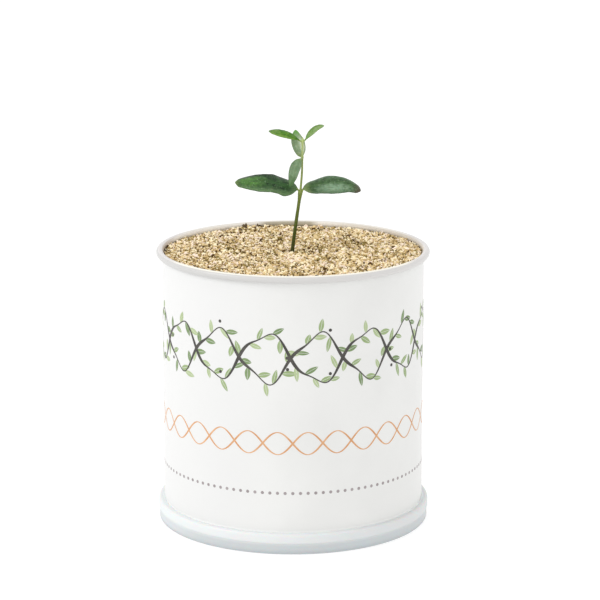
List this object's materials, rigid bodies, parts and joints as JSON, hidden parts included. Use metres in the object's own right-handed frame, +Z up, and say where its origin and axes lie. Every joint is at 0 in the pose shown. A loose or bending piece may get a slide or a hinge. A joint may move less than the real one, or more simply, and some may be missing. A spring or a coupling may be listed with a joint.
{
  "type": "potted olive seedling",
  "caption": "Young olive seedling with a slender leaning stem and paired leaves, in pale grit in a white metal can with a rolled rim, standing in its shallow lid as a saucer.",
  "frame": {"origin": "centre of the saucer's foot, level with the surface it stands on", "axes": "+Z up along the can, -Y towards the front from which the picture was taken, +X to that viewer's right"},
  "size_m": [0.1036, 0.1036, 0.1518],
  "materials": {
    "saucer_plastic": "smooth white moulded plastic, faintly cool",
    "can_enamel": "smooth satin white enamel on sheet steel",
    "grit": "dry crushed grit, cream to brown, matte and uneven",
    "stem": "smooth green bark, darker at the foot",
    "leaf_old": "leathery dark green, satin above and pale below",
    "leaf_grey": "grey-green with a soft sheen",
    "leaf_young": "fresh yellow-green, thin and satin"
  },
  "bodies": {
    "root": {"saucer": "saucer_plastic", "can_end": "can_enamel", "can_wall": "can_enamel", "grit": "grit", "stem": "stem", "leaf_lower_left": "leaf_old", "leaf_lower_right": "leaf_old", "leaf_middle_front": "leaf_grey", "leaf_middle_back": "leaf_grey", "leaf_top_left": "leaf_young", "leaf_top_right": "leaf_young"}
  },
  "joints": []
}
